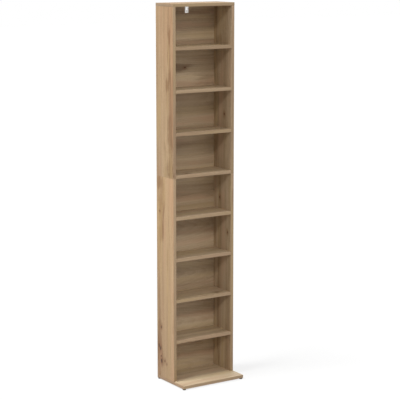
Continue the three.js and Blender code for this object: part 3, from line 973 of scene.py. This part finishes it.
def make_back(node, sheet_place):
    piece = loose_copy(node, node + "_sheet")
    soften(piece, back_softening)
    piece.data.materials.clear()
    for finish in (back_face, raw_back):
        piece.data.materials.append(finish)
    cutter = turned("dimple_cutter", dimple_rings, sides=14)
    cutters = [placed_copy(cutter, "dimple", place, head_back) for place in nail_places[node]]
    bpy.data.objects.remove(cutter)
    carve(piece, join("dimples", *cutters))
    piece.data.uv_layers.new(name="sheet")
    for face in piece.data.polygons:
        is_front = face.normal.y < -front_facing and face.center.y < behind_the_decor
        face.material_index = decor_slot if is_front else bare_slot
        lay_face(piece, face, sheet_place, along_x, along_z)
    smooth(piece)
    hand_over(piece, "back_decor", node)
    print(f"{piece.name}: {len(piece.data.polygons)} faces")


def make_nails(node, name):
    nail = turned("nail", nail_rings, sides=14)
    copies = [placed_copy(nail, "nail_copy", place, head_back) for place in nail_places[node]]
    bpy.data.objects.remove(nail)
    nails = join(name, *copies)
    nails.data.materials.append(plated)
    smooth(nails)
    hand_over(nails, "plated_steel")
    print(f"{name}: {len(copies)} nails in one piece")


make_back("upper_back_panel", (2.40, -4.60))
make_back("lower_back_panel", (3.40, -5.60))
make_nails("upper_back_panel", "upper_back_nails")
make_nails("lower_back_panel", "lower_back_nails")

# %% [markdown]
# ## The cam fixings
# A cam is a die-cast drum in a bore. A bolt from the next board enters it sideways, and a half turn of the
# cam pulls the two boards together. Only its open face shows: a raised rim with an arrow that points at the
# bolt, and a crossed recess for the screwdriver. Small prisms and boxes cut these out. The bolt's thread is
# a row of ridges, made by a helper that works out their rings. The master lies as the ones at the left ends
# of the shelves do, with its bolt along X.

# %% Helpers for threads and recesses


def threads(low, high, root, crest, step):
    """The rings of a thread, as a row of ridges between two heights."""
    rings = []
    while low + step <= high:
        rings += [(root, low), (crest, low + step / 2)]
        low += step
    return rings + [(root, low)]


def prism_cutter(sides, radius, depth, place, turn=(0, 0, 0)):
    """A prism to cut with. Its sizes and its place are in millimetres."""
    only()
    bpy.ops.mesh.primitive_cylinder_add(
        vertices=sides, radius=radius * mm, depth=depth * mm, location=Vector(place) * mm, rotation=turn)
    cutter = bpy.context.object
    settle(cutter)
    return cutter


def cross_cutters(length, width, mouth, inner_end):
    """The two arms of a cross recess. They get smaller towards their inner end, by the taper."""
    taper, up_facing = 0.82, 0.9
    arms = []
    for across, along in ((length, width), (width, length)):
        only()
        bpy.ops.mesh.primitive_cube_add(size=1, location=(0, 0, (mouth + inner_end) / 2 * mm))
        arm = bpy.context.object
        arm.scale = (across * mm, along * mm, (inner_end - mouth) * mm)
        settle(arm)
        pick(edit(arm).faces, lambda face: face.normal.z > up_facing)
        bpy.ops.transform.resize(value=(taper, taper, 1))
        leave()
        arms.append(arm)
    return arms


# %% Make the master cam and bolt
cam_x, half_board = 24.0, 7.5
cam_rings = [(5.3, 0.50), (5.8, 0.06), (5.95, 0.0), (6.9, 0.0), (7.2, 0.3), (7.2, 11.7), (6.9, 12.0)]
bolt_thread = threads(low=-8.8, high=-0.4, root=1.7, crest=2.2, step=1.4)
bolt_rings = [
    (0.9, -10.0), (1.7, -9.2), *bolt_thread,
    (2.2, 0.3), (3.2, 0.3), (3.2, 1.6), (2.7, 2.0), (2.7, 15.4), (3.2, 15.8), (3.2, 17.0)]

cam = turned("cam", cam_rings, sides=48)
arrow_cutter = prism_cutter(sides=3, radius=0.62, depth=0.5, place=(-6.42, 0, 0), turn=(0, 0, pi / 2))
carve(cam, arrow_cutter, *cross_cutters(length=9.0, width=1.6, mouth=-0.6, inner_end=2.5))
cam.data.transform(Matrix.Translation(Vector((cam_x, 0, -half_board)) * mm))
cam.data.materials.append(cast_zinc)

bolt = turned("bolt", bolt_rings, sides=24)
bolt.data.transform(Matrix.Rotation(pi / 2, 4, "Y"))
bolt.data.materials.append(plated)
fixing = join("cam_and_bolt", bolt, cam)
smooth(fixing)
print(f"cam and bolt: {len(fixing.data.polygons)} faces, {len(fixing.data.materials)} finishes")

# %% Copy the fixing to every shelf end and to the top
inner_face_x, side_middle_x, cam_y, top_cam_y = 152.5, 160.0, 84.5, 41.0
hands = {"left": -1, "right": 1}
turns = {"left": None, "right": Matrix.Rotation(pi, 4, "Z")}
for number in shelf_numbers:
    height = box_in_mm(f"shelf_{number}")[0].z + half_board
    for word, hand in hands.items():
        node = f"shelf_{number}_{word}_fixing"
        place = (hand * inner_face_x, cam_y, height)
        piece = placed_copy(fixing, node + "_cam", place, turns[word])
        hand_over(piece, "zinc_alloy", node)
    print(f"shelf {number}: fixings at a height of {height:.1f} mm")

top_underside = box_in_mm("top_panel")[0].z
for word, hand in hands.items():
    # The bolt points up into the top board here, so the master's X turns down and its Z outwards.
    outward, down = Vector((hand, 0, 0)), Vector((0, 0, -1))
    turn = Matrix((down, outward.cross(down), outward)).transposed().to_4x4()
    node = f"top_{word}_fixing"
    piece = placed_copy(fixing, node + "_cam", (hand * side_middle_x, top_cam_y, top_underside), turn)
    hand_over(piece, "zinc_alloy", node)
bpy.data.objects.remove(fixing)
print(f"top board: fixings from a height of {top_underside:.1f} mm downwards")

# %% [markdown]
# The two cams under the top board face into the highest compartment, where they would catch the eye. Such
# towers come with round stickers in the same decor, and one covers each. A sticker is a thin round sheet
# with a soft edge, and takes the oak print of the board round it.

# %% Make the two decor stickers
sticker_rings = [(8.6, 0.0), (8.8, 0.10), (8.75, 0.26), (8.4, 0.36)]
for word, hand in hands.items():
    sticker = turned(f"top_{word}_sticker", sticker_rings, sides=40)
    sticker.data.transform(Matrix.Rotation(-hand * pi / 2, 4, "Y"))
    sticker_place = Vector((hand * inner_face_x, top_cam_y, top_underside - cam_x)) * mm
    sticker.data.transform(Matrix.Translation(sticker_place))
    sticker.data.materials.append(boards[f"{word}_side_upper"].data.materials[faces_slot])
    start = Vector(board_places[f"{word}_side_upper"][1])
    if hand < 0:
        start += sheet_of_back_side
    sticker.data.uv_layers.new(name="sheet")
    for face in sticker.data.polygons:
        lay_face(sticker, face, start, along_z, along_y)
    smooth(sticker)
    hand_over(sticker, "oak_decor")
    print(f"{sticker.name}: {len(sticker.data.polygons)} faces")

# %% [markdown]
# ## The screws
# Four countersunk connecting screws, with a hexagonal recess, hold the sides to the base board. Two small
# pan-head screws hold the bracket under the top board, and have a cross recess. A bought screw's thread is a
# helix, but nearly all of it is inside the wood, so a row of ridges stands for it.

# %% Make the screws
long_thread = threads(low=14.9, high=46.5, root=2.2, crest=2.8, step=2.4)
connecting_rings = [
    (4.7, 0.0), (5.0, 0.25), (5.0, 1.0), (3.5, 4.0), (3.5, 14.7),
    *long_thread, (0.5, 49.9)]
connecting_screw = turned("connecting_screw", connecting_rings)
carve(connecting_screw, prism_cutter(sides=6, radius=2.3, depth=4, place=(0, 0, 1)))

short_thread = threads(low=1.6, high=9.6, root=1.2, crest=1.7, step=1.1)
pan_rings = [
    (1.5, -2.2), (2.3, -2.08), (2.9, -1.7), (3.2, -1.2), (3.3, -0.6), (3.3, 0.0), (1.7, 0.0),
    *short_thread, (0.3, 11.9)]
pan_screw = turned("pan_screw", pan_rings)
carve(pan_screw, *cross_cutters(length=3.6, width=0.9, mouth=-3.0, inner_end=-1.1))

screw_masters = {"base_screw": (connecting_screw, 0.0), "bracket_screw": (pan_screw, 2.2)}
for kind, (master, head_height) in screw_masters.items():
    master.data.materials.append(plated)
    smooth(master)
    for node in [name for name in nodes if name.startswith(kind)]:
        low, high = box_in_mm(node)
        place = ((low.x + high.x) / 2, (low.y + high.y) / 2, low.z + head_height)
        piece = placed_copy(master, node + "_head", place)
        hand_over(piece, "plated_steel", node)
        print(f"{node} at {place[0]:.1f}, {place[1]:.1f}, {place[2]:.1f}")
for master, _ in screw_masters.values():
    bpy.data.objects.remove(master)

# %% [markdown]
# ## The feet
# Each foot is a moulded glide with a nail through its middle. The head of the nail sits in a dish, so that
# only the plastic touches the floor. The rings run from the nail's head outwards, round the rim and up to
# the pin.

# %% Make the feet
foot_rings = [
    (0.7, 0.35), (1.5, 0.48), (2.1, 0.80), (2.2, 1.0), (2.7, 1.0), (3.0, 0.15), (3.2, 0.0),
    (6.2, 0.0), (7.0, 0.15), (7.6, 0.60), (7.95, 1.3), (8.0, 1.8), (8.0, 4.3), (7.8, 4.8), (7.5, 5.0),
    (1.7, 5.0), (1.7, 12.0), (0.4, 13.9)]
foot = turned("foot", foot_rings, sides=48)
plastic_slot, nail_slot = range(2)
nail_head_radius = 2.3 * mm
foot.data.materials.append(foot_plastic)
foot.data.materials.append(plated)
for face in foot.data.polygons:
    in_the_nail = face.center.xy.length < nail_head_radius
    face.material_index = nail_slot if in_the_nail else plastic_slot
smooth(foot)
for node in [name for name in nodes if name.startswith("foot_")]:
    low, high = box_in_mm(node)
    piece = placed_copy(foot, node + "_glide", ((low.x + high.x) / 2, (low.y + high.y) / 2, 0))
    hand_over(piece, "dark_plastic", node)
    print(f"{piece.name}: {len(piece.data.polygons)} faces")
bpy.data.objects.remove(foot)

# %% [markdown]
# ## The wall bracket
# The bracket is a strip of steel sheet, bent at a right angle. It starts as a flat face the size of the leg
# that hangs down, whose top edge is spun round the bend and then drawn out to the front. Its free corners
# are rounded, Solidify gives it the thickness of the sheet, cutters make the slot and the screw holes, and a
# last small bevel takes the sharpness off, as the coat does.

# %% Make the bracket
sheet_thickness, bend, corner_round = 1.6, 3.2, 3.0
bracket_low, bracket_high = box_in_mm("wall_bracket")
bend_z, bend_y = bracket_high.z - bend, bracket_high.y - bend
level_within = 0.01

only()
bpy.ops.mesh.primitive_plane_add(size=1, rotation=(pi / 2, 0, 0))
bracket = bpy.context.object
bracket.name = bracket.data.name = "white_angle_bracket"
bracket.scale = ((bracket_high.x - bracket_low.x) * mm, (bend_z - bracket_low.z) * mm, 1)
bracket.location = Vector((0, bracket_high.y, (bend_z + bracket_low.z) / 2)) * mm
settle(bracket)


def at_height(edge, height):
    """Whether an edge lies level at a height, in millimetres."""
    return all(abs(vertex.co.z / mm - height) < level_within for vertex in edge.verts)


pick(edit(bracket, "EDGE").edges, lambda edge: at_height(edge, bend_z))
bend_centre = Vector((0, bend_y, bend_z)) * mm
bpy.ops.mesh.spin(steps=8, angle=-pi / 2, center=bend_centre, axis=(1, 0, 0))
leave()
spun_high = max(vertex.co.z for vertex in bracket.data.vertices) / mm
print(f"the bend rises to {spun_high:.2f} mm and should rise to {bracket_high.z:.2f} mm")

# %% Draw out the short leg, and round the free corners
same_place = 0.001 * mm
end_within = 0.1
pick(edit(bracket, "EDGE").edges, lambda edge: at_height(edge, bracket_high.z))
forward = {"value": (0, (bracket_low.y - bend_y) * mm, 0)}
bpy.ops.mesh.extrude_region_move(TRANSFORM_OT_translate=forward)
bpy.ops.mesh.select_all(action="SELECT")
bpy.ops.mesh.remove_doubles(threshold=same_place)
leave()


def free_corner(vertex):
    """Whether a vertex is at the free end of one of the two legs."""
    place = vertex.co / mm
    return place.z < bracket_low.z + end_within or place.y < bracket_low.y + end_within


corners = pick(edit(bracket, "VERT").verts, free_corner)
bpy.ops.mesh.bevel(offset=corner_round * mm, segments=5, profile=0.5, affect="VERTICES")
leave()
print(f"{corners} corners rounded")

# %% Give the sheet its thickness, and cut the slot and the holes
apply_modifier(bracket, "SOLIDIFY", thickness=sheet_thickness * mm, offset=1.0)
thick_low, thick_high = (corner / mm for corner in mesh_box(bracket))
print(f"bracket from y {thick_low.y:.2f} to {thick_high.y:.2f} mm, and up to z {thick_high.z:.2f} mm")

slot_middle_z, slot_width, slot_length, hole_width = 1744.5, 5.6, 17.0, 4.0
half_straight = (slot_length - slot_width) / 2
# The straight part of the slot is cut less deep than its round ends, so no two cutters end in one plane.
through, straight_through = 8.0, 7.0
cutters = []
for rise in (-half_straight, half_straight):
    place = (0, bracket_high.y, slot_middle_z + rise)
    round_end = prism_cutter(sides=32, radius=slot_width / 2, depth=through, place=place, turn=(pi / 2, 0, 0))
    cutters.append(round_end)
only()
bpy.ops.mesh.primitive_cube_add(size=1, location=Vector((0, bracket_high.y, slot_middle_z)) * mm)
cutters.append(bpy.context.object)
cutters[-1].scale = Vector((slot_width, straight_through, 2 * half_straight)) * mm
settle(cutters[-1])
for node in ("bracket_screw_front", "bracket_screw_rear"):
    low, high = box_in_mm(node)
    place = (0, (low.y + high.y) / 2, bracket_high.z)
    cutters.append(prism_cutter(sides=24, radius=hole_width / 2, depth=through, place=place))
carve(bracket, *cutters)

# %% Take the sharpness off the bracket
blunt, bracket_edges = 0.22 * mm, radians(40)
apply_modifier(bracket, "BEVEL", width=blunt, segments=2, limit_method="ANGLE", angle_limit=bracket_edges)
bracket.data.materials.append(powder_coat)
smooth(bracket, bracket_edges)
hand_over(bracket, "white_steel", "wall_bracket")
print(f"bracket: {len(bracket.data.polygons)} faces")

# %% [markdown]
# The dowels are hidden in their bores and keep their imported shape. Bare beech is all they need.

# %% Dowels
dowels = [name for name in nodes if "_dowel_" in name]
for node in dowels:
    nodes[node].data.materials.clear()
    nodes[node].data.materials.append(beech)
print(f"{len(dowels)} dowels in bare beech")

# %% [markdown]
# ## Stage and light
# The floor and the background are plain and white to the eye, as on a catalogue page. Only rays from the
# camera, from glossy surfaces and through glass see them white: all other rays meet a grey floor and a
# dimmer sky, so that the compartments stay dark inside. The floor still takes the tower's shadow.

# %% Floor and surroundings
floor_size, floor_glow, sky_light = 60, 0.72, 0.53
white, lit_grey, plain_grey = (1, 1, 1, 1), (0.26, 0.26, 0.26, 1), (0.50, 0.49, 0.48, 1)


def seen_directly(tree):
    """1 for a ray that shows the background to the eye, and 0 for one that only carries light."""
    path = add(tree, "LightPath").outputs
    seen = calc(tree, "MAXIMUM", path["Is Camera Ray"], path["Is Glossy Ray"])
    return calc(tree, "MAXIMUM", seen, path["Is Transmission Ray"])


def make_floor():
    only()
    bpy.ops.mesh.primitive_grid_add(x_subdivisions=4, y_subdivisions=4, size=floor_size)
    floor = bpy.context.object
    floor.name = "floor"
    material = bpy.data.materials.new("pale_floor")
    material.use_nodes = True
    tree = material.node_tree
    tree.nodes.clear()
    lit = add(tree, "BsdfDiffuse", {"Color": lit_grey})
    glow = add(tree, "Emission", {"Color": white, "Strength": floor_glow})
    shown = add(tree, "AddShader", {0: lit.outputs[0], 1: glow.outputs[0]})
    plain = add(tree, "BsdfDiffuse", {"Color": plain_grey})
    feeds = {0: seen_directly(tree), 1: plain.outputs[0], 2: shown.outputs[0]}
    chosen = add(tree, "MixShader", feeds)
    add(tree, "OutputMaterial", {0: chosen.outputs[0]})
    floor.data.materials.append(material)


def make_world():
    world = bpy.data.worlds.new("studio")
    world.use_nodes = True
    tree = world.node_tree
    strength = calc(tree, "MULTIPLY_ADD", seen_directly(tree), 1 - sky_light, sky_light)
    tree.links.new(strength, tree.nodes["Background"].inputs["Strength"])
    tree.nodes["Background"].inputs["Color"].default_value = white
    bpy.context.scene.world = world


make_floor()
make_world()
print(f"a floor {floor_size} m wide, under a sky that lights with {sky_light} of its white")

# %% [markdown]
# The key lamp is wide and soft, and stands high up on the left, so the left side and the base board are the
# lightest. A smaller front lamp shines down into the compartments. Each shelf keeps it from the upper part
# of the back, and throws a slanting shadow on the inner face of the right side.

# %% Lamps
lamp_distance = 5


def make_lamp(name, azimuth, elevation, spread, level):
    """A distant soft lamp. Azimuth 0 is the front, 90 the right. Level 1 fully lights a face turned to it."""
    data = bpy.data.lights.new(name, "SUN")
    data.angle = radians(spread)
    data.energy = level * pi
    lamp = bpy.data.objects.new(name, data)
    around, above = radians(azimuth), radians(elevation)
    towards = Vector((sin(around) * cos(above), -cos(around) * cos(above), sin(above)))
    lamp.rotation_euler = towards.to_track_quat("Z", "Y").to_euler()
    lamp.location = towards * lamp_distance
    bpy.context.scene.collection.objects.link(lamp)
    print(f"{name}: {spread} degrees wide, strength {data.energy:.2f}")


make_lamp("key_lamp", azimuth=-94, elevation=60, spread=24, level=0.64)
make_lamp("front_lamp", azimuth=-28, elevation=35, spread=9, level=0.29)

# %% [markdown]
# The picture is taken as it is, with no film curve over it, so the colours come out as they were written.

# %% The picture's colours
bpy.context.scene.view_settings.view_transform = "Standard"
